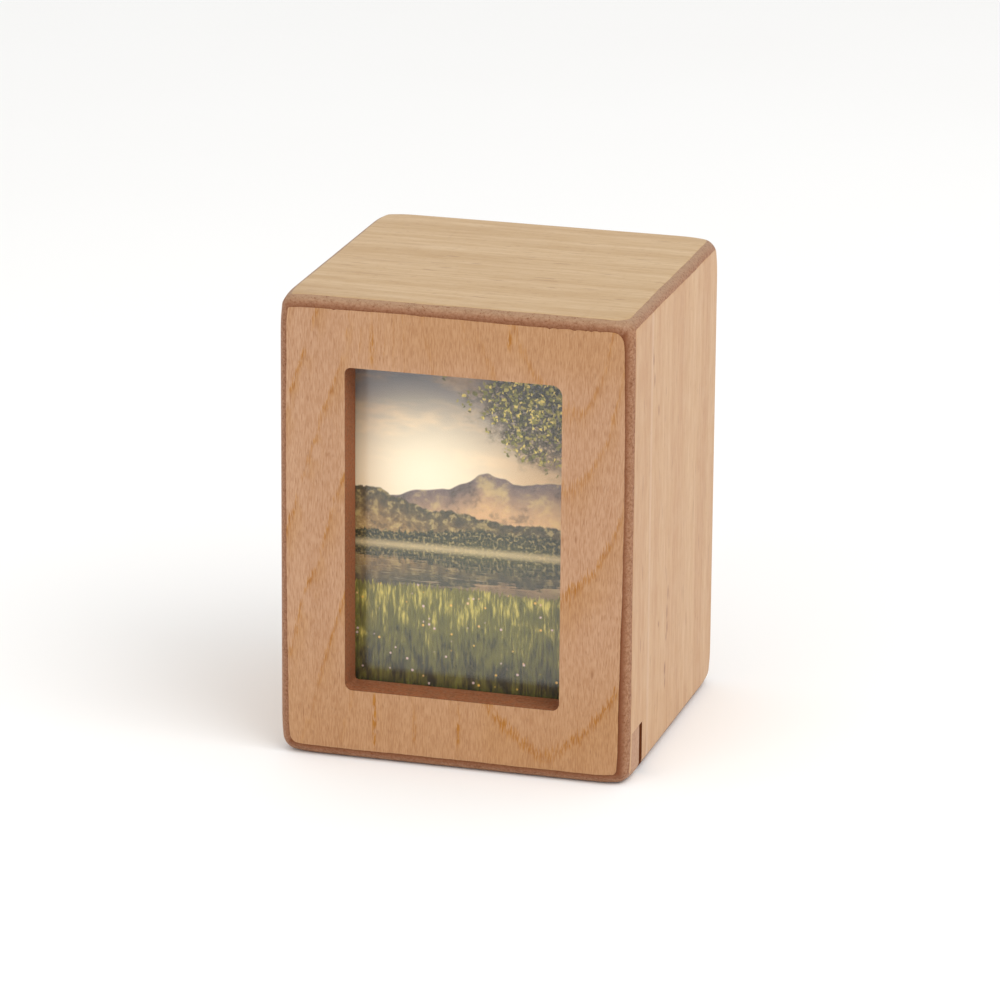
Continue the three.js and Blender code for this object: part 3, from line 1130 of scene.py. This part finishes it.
@dataclass(frozen=True)
class Finishes:
    """All finishes of the box as built materials."""

    front: Material
    right: Material
    left: Material
    back: Material
    top: Material
    board: Material
    backing: Material
    pane: Material
    picture: Material

    @classmethod
    def build(cls, sizes: BoxSizes) -> "Finishes":
        """Builds each finish with its own values."""
        effects = Effects()
        front = VeneerFinish(
            "front_veneer", GrainRun.FACE_UPRIGHT,
            pale=linear(187, 146, 113), dark=linear(164, 118, 81), pore=linear(138, 90, 50),
            seed=3.0, sway=3.0, bands=(9.0, 220.0, 0.16), streaks=(1.6, 30.0, 0.14),
            fibres=(0.33, 2.8, 0.6), pore_limit=0.6, hair_share=0.2, figure=FlatSawnFigure(),
            marks=((-39.0, 11.3, 0.4, 1.8, 0.45), (36.1, 28.9, 0.45, 1.6, 0.7),
                   (31.5, 63.6, 0.45, 1.5, 0.7)),
        )
        right = VeneerFinish(
            "side_veneer", GrainRun.SIDE_UPRIGHT,
            pale=linear(199, 162, 121), dark=linear(182, 136, 93), pore=linear(134, 78, 42),
            seed=17.0, sway=0.8, bands=(8.0, 260.0, 0.45), streaks=(2.6, 70.0, 0.3),
            fibres=(0.9, 9.0, 0.4), pore_limit=0.66,
            marks=((-5.3, 39.2, 0.8, 3.0, 0.8), (-6.1, 34.4, 0.8, 3.2, 0.8),
                   (-5.8, 30.2, 0.8, 2.6, 0.8), (-6.7, 28.0, 0.7, 1.6, 0.7),
                   (-7.6, 19.6, 1.1, 2.8, 0.8), (-7.2, 16.0, 0.8, 2.4, 0.7),
                   (-14.5, 33.8, 0.8, 1.2, 0.7), (-22.0, 99.8, 0.9, 2.6, 0.7),
                   (-23.3, 105.3, 0.9, 2.4, 0.7), (-17.5, 90.8, 0.8, 2.2, 0.7)),
            pale_line=-24.6,
        )
        left = replace(right, name="left_veneer", seed=35.0, marks=(), pale_line=None)
        back = replace(left, name="back_veneer", run=GrainRun.FACE_UPRIGHT, seed=41.0)
        top = VeneerFinish(
            "top_veneer", GrainRun.LEFT_TO_RIGHT,
            pale=linear(197, 167, 127), dark=linear(178, 144, 99), pore=linear(136, 96, 58),
            seed=29.0, sway=0.6, bands=(9.0, 200.0, 0.5), streaks=(2.0, 60.0, 0.4),
            fibres=(0.8, 12.0, 0.4), pore_limit=0.64, pore_share=0.5, hair_share=0.75,
            marks=((12.3, -30.0, 1.2, 15.0, 0.16), (-5.2, -29.0, 1.1, 19.0, 0.17),
                   # The last mark is a broad faint darkening over the front left of the top, not a
                   # single fleck
                   (-18.4, -31.0, 1.1, 14.0, 0.18), (-38.0, -44.0, 12.0, 30.0, 0.14)),
        )
        # The board's darkest colour serves its specks and the painted shade, and its grey-brown last
        # colour is the painted sheen on faces that look up
        board = FibreboardFinish(
            "bare_board", body=linear(151, 106, 75), strand=linear(130, 86, 57),
            fleck=linear(170, 128, 99), dark_specks_and_shade=linear(110, 56, 22),
            raw=linear(182, 145, 119), inner=linear(154, 91, 55), painted_sheen_and_flowers=linear(163, 138, 110),
        )
        # The same for the backing: darkest colour for specks and painted shade, the last one for the
        # painted sheen
        backing = FibreboardFinish(
            "backing_hardboard", body=linear(120, 84, 58), strand=linear(92, 60, 40),
            fleck=linear(146, 110, 82), dark_specks_and_shade=linear(70, 42, 26),
            raw=linear(150, 116, 90), inner=linear(120, 84, 58), painted_sheen_and_flowers=linear(130, 96, 72),
            roughness=0.6,
        )
        pane = PaneFinish("clear_sheet")
        picture = PrintFinish("picture_print", sizes.window_low, sizes.window_high)
        finishes = (front, right, left, back, top, board, backing, pane, picture)
        return cls(*(finish.build(effects) for finish in finishes))


@dataclass
class WindowOpening:
    """The picture window: its outline in x and z, with a radius of its own at each corner.

    The corners are roundest at the front face and sharper at the bed.
    """

    sizes: BoxSizes
    radius: np.ndarray = field(default_factory=lambda: np.array([[1.9, 1.6], [2.0, 2.7]]))
    steps: int = 5
    fade: float = 5.0
    fade_marks: tuple[float, ...] = (0.6, 1.5, 3.0, 5.0)
    bed_share: float = 0.4

    def cut(self, past: float) -> Cut:
        """Low and high corner of the block that the window takes out of the front."""
        low, high = self.sizes.window_low, self.sizes.window_high
        return (low[0], -past, low[1]), (high[0], past, high[1])

    def marks(self, axis: int) -> list[float]:
        """Lines wanted in the round corners of the window and where their rounding fades out.

        Args:
            axis: 0 for x and 1 for z.

        Returns:
            Places along the axis.
        """
        turn = np.tan(np.linspace(0.0, math.pi / 4, self.steps + 1))
        inside = self.radius.max() * (1.0 - turn)
        near = np.concatenate([inside, -np.array(self.fade_marks)])
        low, high = self.sizes.window_low[axis], self.sizes.window_high[axis]
        return [*(low + near), *(high - near)]

    def round_corners(self, points: np.ndarray) -> np.ndarray:
        """Rounds the square corners of the opening and lets the change fade out around them.

        In each corner the way out from the centre of its arc keeps its direction, and its length
        becomes its longer part. Past the edge of the window this fades out over a few millimetres.

        Args:
            points: Rows of x, y, z.

        Returns:
            The same rows with x and z moved near the corners.
        """
        low, high = self.sizes.window_low, self.sizes.window_high
        middle, half = (low + high) / 2, (high - low) / 2
        flat = points[:, [0, 2]] - middle
        side = (flat > 0).astype(int)
        back = (points[:, 1] - self.sizes.low[1]) / (self.sizes.bed_low[1] - self.sizes.low[1])
        share = 1.0 + (self.bed_share - 1.0) * np.clip(back, 0.0, 1.0)
        radius = (self.radius[side[:, 0], side[:, 1]] * share)[:, None]
        core = half - radius
        out = np.maximum(np.abs(flat) - core, 0.0)
        longest = out.max(axis=1, keepdims=True)
        weight = 1.0 - smooth(longest, radius, radius + self.fade)
        moved = out * (1.0 + weight * (round_share(out) - 1.0))
        fresh = points.copy()
        fresh[:, [0, 2]] = middle + np.sign(flat) * (np.minimum(np.abs(flat), core) + moved)
        return fresh


@dataclass
class Board:
    """One fibreboard board of the box, cut from the rounded block."""

    name: str
    node: str
    low: Corner
    high: Corner
    step: float = 12.0
    cuts: tuple[Cut, ...] = ()
    # The faces of the last cut can get painted shade, at this share
    shaded_cut: bool = False
    cut_shade_share: float = 1.6

    def lattice(self, block: RoundedBlock, extra: tuple = ((), (), ())) -> Lattice:
        """Cells of the board, close together in its round-overs and cut where it is cut away.

        Args:
            block: Outside of the whole box.
            extra: Marks wanted along x, y and z.

        Returns:
            The lattice with its cuts cleared.
        """
        lines = []
        for axis, ends in enumerate(zip(self.low, self.high)):
            wanted = [*block.edge_marks(axis), *extra[axis]]
            lines.append(grid_lines(axis, ends, self.cuts, self.step, wanted))
        return Lattice(lines, self.cuts)

    def build(self, block: RoundedBlock, material: Material) -> Piece:
        """Builds the board and lets it stand for its CAD node."""
        points, quads = self.lattice(block).skin()
        shaped = block.sand(block.bend(points))
        masks = {"painted_shade": self.painted_shade(points, block)}
        return self.finish(make_piece(self.name, shaped, quads, material, masks))

    def painted_shade(self, points: np.ndarray, block: RoundedBlock) -> np.ndarray:
        """Mask of painted shade on the sawn faces: every face of the last cut."""
        if not self.shaded_cut:
            return np.zeros(len(points))
        return self.cut_shade_share * self.on_cut(points, -1)

    def on_cut(self, points: np.ndarray, number: int) -> np.ndarray:
        """Mask of the points that lie on the faces of one cut."""
        low, high = np.array(self.cuts[number])
        return ((points > low - ON_FACE) & (points < high + ON_FACE)).all(axis=1).astype(float)

    def finish(self, piece: Piece) -> Piece:
        """Hides the CAD node that the piece stands for."""
        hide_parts(self.node)
        return piece


@dataclass
class FrontBoard(Board):
    """The front board, with its window, the bed of the picture and the ledge under the veneer."""

    ledge: float = 0.3
    margins: Sides = (2.2, 2.1, 2.8, 2.5)
    # Share of painted shade at the left, right, foot and top edge of the face, and how far in it
    # reaches
    edge_shade_shares: Sides = (0.35, 1.1, 1.0, 0.6)
    step_shade_reach: float = 2.4
    face_marks: tuple[float, ...] = (2.1, 2.45, 2.8)

    def build_front(
        self, block: RoundedBlock, window: WindowOpening, material: Material
    ) -> Piece:
        """Builds the board. Its face lies back by the ledge, so the veneer stands proud in a step.

        Args:
            block: Outside of the whole box.
            window: The picture window.
            material: Finish of the board.

        Returns:
            The finished piece.
        """
        crease = block.radius * (1.0 - math.tan(math.acos(1.0 - self.ledge / block.radius)))
        inside = np.array([crease, *self.face_marks])
        extra: list[list[float]] = [[], [], []]
        for flat, axis in enumerate((0, 2)):
            beside = [*(block.low[axis] + inside), *(block.high[axis] - inside)]
            extra[axis] = window.marks(flat) + beside
        points, quads = self.lattice(block, tuple(extra)).skin()
        masks = {
            "painted_shade": self.painted_shade(points, block),
            "raw": self.on_cut(points, -1),
            "inner": self.on_cut(points, 0),
        }
        rounded = block.bend(window.round_corners(points))
        rounded[:, 1] = np.maximum(rounded[:, 1], block.low[1] + self.ledge)
        return self.finish(make_piece(self.name, block.sand(rounded), quads, material, masks))

    def painted_shade(self, points: np.ndarray, block: RoundedBlock) -> np.ndarray:
        """Painted shade as a dark band on the face of the board, strongest at the edge of the veneer.

        Args:
            points: Rows of x, y, z in the square-edged block.
            block: Outside of the whole box.

        Returns:
            A value for each point, from 0 to the share of its nearest edge.
        """
        left, right, foot, top = self.margins
        gaps = np.stack([
            left - (points[:, 0] - block.low[0]), right - (block.high[0] - points[:, 0]),
            foot - (points[:, 2] - block.low[2]), top - (block.high[2] - points[:, 2]),
        ])
        on_face = points[:, 1] < self.low[1] + ON_FACE
        fading = np.clip(1.0 - gaps.max(axis=0) / self.step_shade_reach, 0.0, 1.0)
        return on_face * np.array(self.edge_shade_shares)[gaps.argmax(axis=0)] * fading


@dataclass
class VeneerSheet:
    """A thin sheet of veneer on one face of the box."""

    name: str
    slot: str
    axis: int
    side: int
    margins: Sides
    corners: tuple[Pair, Pair]
    seed: int
    thickness: float = 0.05
    rag: float = 0.07
    rag_reach: float = 4.0
    rag_rates: tuple[float, ...] = (0.11, 0.31, 0.9, 2.3, 5.1)
    rag_shares: tuple[float, ...] = (1.0, 0.7, 0.45, 0.35, 0.25)
    steps: Pair = (1.2, 1.2)
    cuts: tuple[Cut, ...] = ()

    @property
    def flat(self) -> tuple[int, int]:
        """The two axes that the sheet lies along."""
        first, second = [axis for axis in range(3) if axis != self.axis]
        return first, second

    def reach(self, block: RoundedBlock) -> np.ndarray:
        """Low and high edge of the sheet along its two axes, as two rows."""
        rows = []
        for number, axis in enumerate(self.flat):
            low, high = self.margins[2 * number: 2 * number + 2]
            rows.append([block.low[axis] + low, block.high[axis] - high])
        return np.array(rows)

    def wave(self, along: np.ndarray, edge: int) -> np.ndarray:
        """Unevenness of one edge in millimetres: a sum of sines with seeded phases.

        Args:
            along: Place along the edge.
            edge: Number of the edge, 0 to 3.

        Returns:
            How far the edge stands out at each place.
        """
        draw = np.random.default_rng(self.seed * 10 + edge)
        phase = draw.uniform(0.0, math.tau, len(self.rag_rates))
        share = np.array(self.rag_shares) * self.rag
        return (np.sin(along[:, None] * np.array(self.rag_rates) + phase) * share).sum(axis=1)

    def lattice(self, block: RoundedBlock, soft: tuple = ((), ())) -> Lattice:
        """One layer of cells over the sheet, with its cut-outs cleared."""
        face = block.high[self.axis] if self.side > 0 else block.low[self.axis]
        lines = [np.sort([face, face - self.side * self.thickness])] * 3
        for axis, ends, step, extra in zip(self.flat, self.reach(block), self.steps, soft):
            wanted = [*block.edge_marks(axis), *extra]
            lines[axis] = grid_lines(axis, ends, self.cuts, step, wanted)
        return Lattice(lines, self.cuts)

    def outline(self, points: np.ndarray, block: RoundedBlock) -> np.ndarray:
        """Rounds the corners of the sheet and lets its edges waver.

        The corner squares turn into quarter discs. Then each point moves out by the unevenness of
        each edge, times a weight that falls from one at the edge to nothing at its reach inside.

        Args:
            points: Rows of x, y, z of the flat sheet.
            block: Outside of the whole box.

        Returns:
            The same rows with their places in the sheet moved.
        """
        axes = list(self.flat)
        reach = self.reach(block)
        middle, half = reach.mean(axis=1), (reach[:, 1] - reach[:, 0]) / 2
        flat = points[:, axes] - middle
        side = (flat > 0).astype(int)
        radius = np.array(self.corners)[side[:, 0], side[:, 1]][:, None]
        out = np.maximum(np.abs(flat) - (half - radius), 0.0)
        kept = np.minimum(np.abs(flat), half - radius)
        flat = np.sign(flat) * (kept + out * round_share(out))
        moved = flat.copy()
        for edge in range(4):
            number, sign = edge // 2, 1 if edge % 2 else -1
            inside = half[number] - sign * flat[:, number]
            weight = np.clip(1.0 - inside / self.rag_reach, 0.0, 1.0) ** 2
            place = flat[:, 1 - number] + middle[1 - number]
            moved[:, number] += sign * weight * self.wave(place, edge)
        fresh = points.copy()
        fresh[:, axes] = moved + middle
        return fresh

    def build(self, block: RoundedBlock, material: Material) -> Piece:
        """Builds the sheet so that it follows the start of the round-overs."""
        points, quads = self.lattice(block).skin()
        bent = block.bend(self.outline(points, block))
        return self.finish(make_piece(self.name, block.sand(bent), quads, material))

    def finish(self, piece: Piece) -> Piece:
        """Gives the piece back as it is."""
        return piece


@dataclass
class FrontSheet(VeneerSheet):
    """The front veneer: flat, with the window cut out, a drifting right edge and a chipped top."""

    drift_z: tuple[float, ...] = (0.0, 23.0, 49.0, 75.0, 100.0, 120.0)
    drift_left: tuple[float, ...] = (-0.5, -0.3, 0.05, 0.05, -0.1, -0.1)
    drift_right: tuple[float, ...] = (-0.6, -0.4, 0.2, 0.35, 0.25, -0.2)
    drift_x: tuple[float, ...] = (-45.0, -30.0, -12.0, 24.0, 36.0, 45.0)
    drift_top: tuple[float, ...] = (-0.45, -0.3, -0.15, -0.5, -0.3, 0.0)
    chip_x: tuple[float, ...] = (24.2, 26.3, 30.6, 33.4, 34.8, 37.0, -31.0, -8.5)
    chip_width: tuple[float, ...] = (0.4, 0.25, 0.5, 0.25, 0.3, 0.6, 0.25, 0.3)
    chip_depth: tuple[float, ...] = (0.3, 0.15, 0.3, 0.2, 0.32, 0.2, 0.3, 0.12)

    def wave(self, along: np.ndarray, edge: int) -> np.ndarray:
        """Adds the drift of the upright edges, and the chips of the top edge as small bells."""
        base = super().wave(along, edge)
        if edge < 2:
            return base + np.interp(along, self.drift_z, (self.drift_left, self.drift_right)[edge])
        if edge == 2:
            return base
        gap = (along[:, None] - np.array(self.chip_x)) / np.array(self.chip_width)
        base = base + np.interp(along, self.drift_x, self.drift_top)
        return base - (np.exp(-gap**2) * np.array(self.chip_depth)).sum(axis=1)

    def build_front(
        self, block: RoundedBlock, window: WindowOpening, material: Material
    ) -> Piece:
        """Builds the flat sheet with the window cut out of it.

        Args:
            block: Outside of the whole box.
            window: The picture window.
            material: Finish of the sheet.

        Returns:
            The finished piece.
        """
        soft = (window.marks(0), window.marks(1))
        points, quads = self.lattice(block, soft).skin()
        flat = self.outline(window.round_corners(points), block)
        return self.finish(make_piece(self.name, block.sand(flat), quads, material))


@dataclass
class UrnBox:
    """The whole box: boards, veneer sheets, and the pane and picture in the window."""

    sizes: BoxSizes
    inset: float = 0.04
    past: float = 50.0
    eased: float = 0.4
    even: tuple[Pair, Pair] = ((1.2, 1.2), (1.2, 1.2))

    def __post_init__(self) -> None:
        """Works out the outside of the box and its window."""
        self.block = RoundedBlock(self.sizes.low, self.sizes.high, self.sizes.round_over)
        self.window = WindowOpening(self.sizes)

    def build_boards(self, finishes: Finishes) -> None:
        """Builds the six boards. Faces under a veneer lie back by the inset."""
        s, lay = self.sizes, self.inset
        left, front, foot = s.low + np.array([lay, lay, 0.0])
        right, back, top = s.high - lay
        far = self.past
        bed = (tuple(s.bed_low), (s.bed_high[0], far, s.bed_high[2]))
        patch = (
            (s.high[0] - s.notch_recess, s.low[1] + s.notch_start, -far),
            (far, far, s.notch_height),
        )
        FrontBoard(
            "front_board", "front_panel", (left, front, foot), (right, s.front_inner, top),
            cuts=(self.window.cut(far), bed, patch),
        ).build_front(self.block, self.window, finishes.board)
        slot_edge = s.side_inner + s.groove
        left_groove = ((-slot_edge, -far, -far), (0.0, s.slot_back, s.top_inner))
        right_groove = ((0.0, -far, -far), (slot_edge, s.slot_back, s.top_inner))
        slit = ((0.0, -far, -far), (far, s.slot_back, s.notch_height))
        boards = (
            Board("back_board", "back_panel", (left, s.back_inner, foot), (right, back, top)),
            Board("left_board", "left_side_panel", (left, s.front_inner, foot),
                  (-s.side_inner, s.back_inner, top), cuts=(left_groove,)),
            # The faces of the right board's slit get painted shade
            Board("right_board", "right_side_panel", (s.side_inner, s.front_inner, foot),
                  (right, s.back_inner, top), cuts=(right_groove, slit), shaded_cut=True),
            Board("top_board", "top_panel", (-s.side_inner, s.front_inner, s.top_inner),
                  (s.side_inner, s.back_inner, top)),
        )
        for board in boards:
            board.build(self.block, finishes.board)
        closing = Board(
            "closing_board", "bottom_panel", (-s.side_inner, s.slot_back, foot),
            (s.side_inner, s.back_inner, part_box("bottom_panel")[1][2] / MM), step=8.0,
        ).build(self.block, finishes.board)
        eased = closing.modifiers.new("eased edges", "BEVEL")
        eased.width = self.eased * MM
        eased.segments = 2
        eased.limit_method = "ANGLE"

    def build_veneers(self, finishes: Finishes) -> None:
        """Builds the five veneer sheets."""
        s, far = self.sizes, self.past
        notch = (
            (-far, s.low[1] + s.notch_start, -far),
            (far, s.slot_back, s.notch_height),
        )
        FrontSheet(
            "veneer_front", "front_veneer", axis=1, side=-1, margins=(2.2, 2.2, 2.8, 2.5),
            corners=((2.3, 0.5), (1.4, 3.0)), seed=4, thickness=0.32, rag=0.045,
            steps=(0.42, 0.7), cuts=(self.window.cut(far),),
        ).build_front(self.block, self.window, finishes.front)
        sheets = (
            (VeneerSheet("veneer_top", "top_veneer", axis=2, side=1, seed=5,
                         margins=(2.3, 2.2, 2.3, 2.3),
                         corners=((0.8, 1.4), (3.4, 2.4))), finishes.top),
            (VeneerSheet("veneer_right", "side_veneer", axis=0, side=1, seed=6,
                         margins=(2.8, 2.3, 2.3, 2.3), corners=((0.6, 1.0), (1.2, 1.2)),
                         cuts=(notch,)), finishes.right),
            (VeneerSheet("veneer_left", "side_veneer", axis=0, side=-1, seed=7,
                         margins=(2.2, 2.3, 2.3, 2.3), corners=self.even), finishes.left),
            (VeneerSheet("veneer_back", "side_veneer", axis=1, side=1, seed=8,
                         margins=(2.3, 2.3, 2.4, 2.3), corners=self.even), finishes.back),
        )
        for sheet, material in sheets:
            sheet.build(self.block, material)

    def dress_nodes(self, finishes: Finishes) -> None:
        """Gives the pane, the picture and its backing their finishes."""
        pairs = (
            ("clear_pane", finishes.pane),
            ("picture_board", finishes.picture),
            ("backing_board", finishes.backing),
        )
        for name, material in pairs:
            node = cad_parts[name]
            node.data.materials.clear()
            node.data.materials.append(material)
            LOG.info("%s: finish %s", name, material.name)


@dataclass
class Studio:
    """Pale floor, soft light, and the camera at the photograph's viewing angle."""

    azimuth: float = 15.9111
    elevation: float = 17.367
    roll: float = 0.4334
    distance: float = 1.442922
    target: Corner = (0.012068, -0.0435, 0.07207)
    focal_pixels: float = 5853.577
    image_pixels: float = 1000.0
    sensor: float = 36.0
    floor_half: float = 4.0
    floor_cells: int = 8
    surrounding: float = 0.85

    def build_camera(self) -> None:
        """Sets the camera on its sphere about the target, looking in and turned by the roll."""
        turn, rise = math.radians(self.azimuth), math.radians(self.elevation)
        out = Vector((
            math.sin(turn) * math.cos(rise), -math.cos(turn) * math.cos(rise), math.sin(rise),
        ))
        right = Vector((math.cos(turn), math.sin(turn), 0.0))
        up = out.cross(right)
        roll = math.radians(self.roll)
        right, up = (
            right * math.cos(roll) + up * math.sin(roll),
            up * math.cos(roll) - right * math.sin(roll),
        )
        data = bpy.data.cameras.new("camera")
        data.sensor_width = self.sensor
        data.lens = self.focal_pixels * self.sensor / self.image_pixels
        camera = bpy.data.objects.new("camera", data)
        rows = [
            (right[row], up[row], out[row], self.target[row] + out[row] * self.distance)
            for row in range(3)
        ]
        camera.matrix_world = Matrix((*rows, (0.0, 0.0, 0.0, 1.0)))
        bpy.context.scene.collection.objects.link(camera)
        bpy.context.scene.camera = camera

    def build_floor(self) -> None:
        """Lays a wide pale floor under the box."""
        cells = np.arange(self.floor_cells)
        row = self.floor_cells + 1
        line = np.linspace(-self.floor_half, self.floor_half, row)
        grid = np.stack(np.meshgrid(line, line, [0.0], indexing="ij"), axis=-1).reshape(-1, 3)
        start = (cells[:, None] * row + cells).ravel()
        quads = np.stack([start, start + row, start + row + 1, start + 1], axis=1)
        mesh = bpy.data.meshes.new("floor")
        mesh.from_pydata(grid.tolist(), [], quads.tolist())
        material, g, shader = new_material("floor")
        cloud = g.noise(g.add("ShaderNodeTexCoord").outputs["Object"], 3.0)
        colour = g.mix(cloud, linear(244, 243, 241), linear(248, 248, 247))
        g.fill(shader, Base_Color=colour, Roughness=0.9)
        mesh.materials.append(material)
        floor = bpy.data.objects.new("floor", mesh)
        bpy.context.scene.collection.objects.link(floor)

    def build_light(self) -> None:
        """Sets a white surrounding, a wide soft light above on the right, and a front fill."""
        scene = bpy.context.scene
        scene.view_settings.view_transform = "Standard"
        world = bpy.data.worlds.new("studio")
        world.use_nodes = True
        back = world.node_tree.nodes["Background"]
        back.inputs["Color"].default_value = (1.0, 1.0, 1.0, 1.0)
        back.inputs["Strength"].default_value = self.surrounding
        scene.world = world
        lamps = (
            ("key", (0.9, -0.5, 1.3), 1.2, 12.0),
            ("fill", (-0.5, -1.4, 0.9), 1.0, 5.0),
        )
        for name, place, size, power in lamps:
            lamp = bpy.data.lights.new(name, "AREA")
            lamp.size = size
            lamp.energy = power
            holder = bpy.data.objects.new(name, lamp)
            aim = Vector(self.target) - Vector(place)
            holder.matrix_world = (
                Matrix.Translation(place) @ aim.to_track_quat("-Z", "Y").to_matrix().to_4x4()
            )
            scene.collection.objects.link(holder)


def main() -> None:
    """Builds the studio and the box in order."""
    logging.basicConfig(level=logging.INFO, format="%(message)s")
    studio = Studio()
    studio.build_camera()
    studio.build_floor()
    studio.build_light()
    sizes = BoxSizes.from_frame()
    finishes = Finishes.build(sizes)
    box = UrnBox(sizes)
    box.build_boards(finishes)
    box.build_veneers(finishes)
    box.dress_nodes(finishes)


if __name__ == "__main__":
    main()
